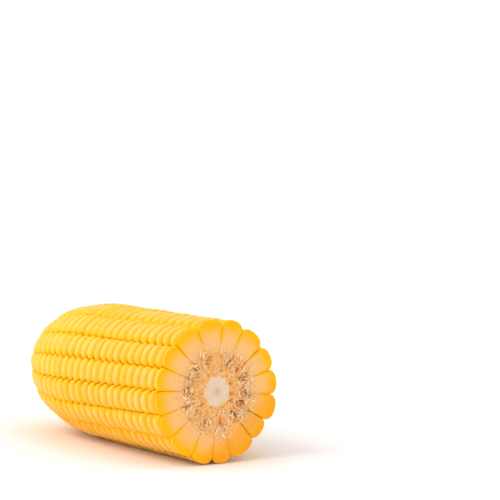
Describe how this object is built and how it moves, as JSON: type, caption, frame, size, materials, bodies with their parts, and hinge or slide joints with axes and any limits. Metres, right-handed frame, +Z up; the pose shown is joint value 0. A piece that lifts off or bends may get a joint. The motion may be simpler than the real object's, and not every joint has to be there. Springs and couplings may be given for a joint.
{
  "type": "corn cob",
  "caption": "Cut length of sweet corn ear lying on its side, with rows of rounded kernels round a woody cob, a flat cut face and a tapered, rounded tip.",
  "frame": {"origin": "centre of the bounding box's base, on the surface that the ear lies on", "axes": "+X along the ear towards the cut face, the tip points to -X; +Z up"},
  "size_m": [0.1168, 0.0506, 0.0498],
  "materials": {
    "cob": "matte, papery and fibrous",
    "kernels": "smooth, moist and slightly translucent"
  },
  "bodies": {
    "root": {"cob": "cob", "kernel_row_01": "kernels", "kernel_row_02": "kernels", "kernel_row_03": "kernels", "kernel_row_04": "kernels", "kernel_row_05": "kernels", "kernel_row_06": "kernels", "kernel_row_07": "kernels", "kernel_row_08": "kernels", "kernel_row_09": "kernels", "kernel_row_10": "kernels", "kernel_row_11": "kernels", "kernel_row_12": "kernels", "kernel_row_13": "kernels", "kernel_row_14": "kernels", "kernel_row_15": "kernels", "kernel_row_16": "kernels"}
  },
  "joints": []
}
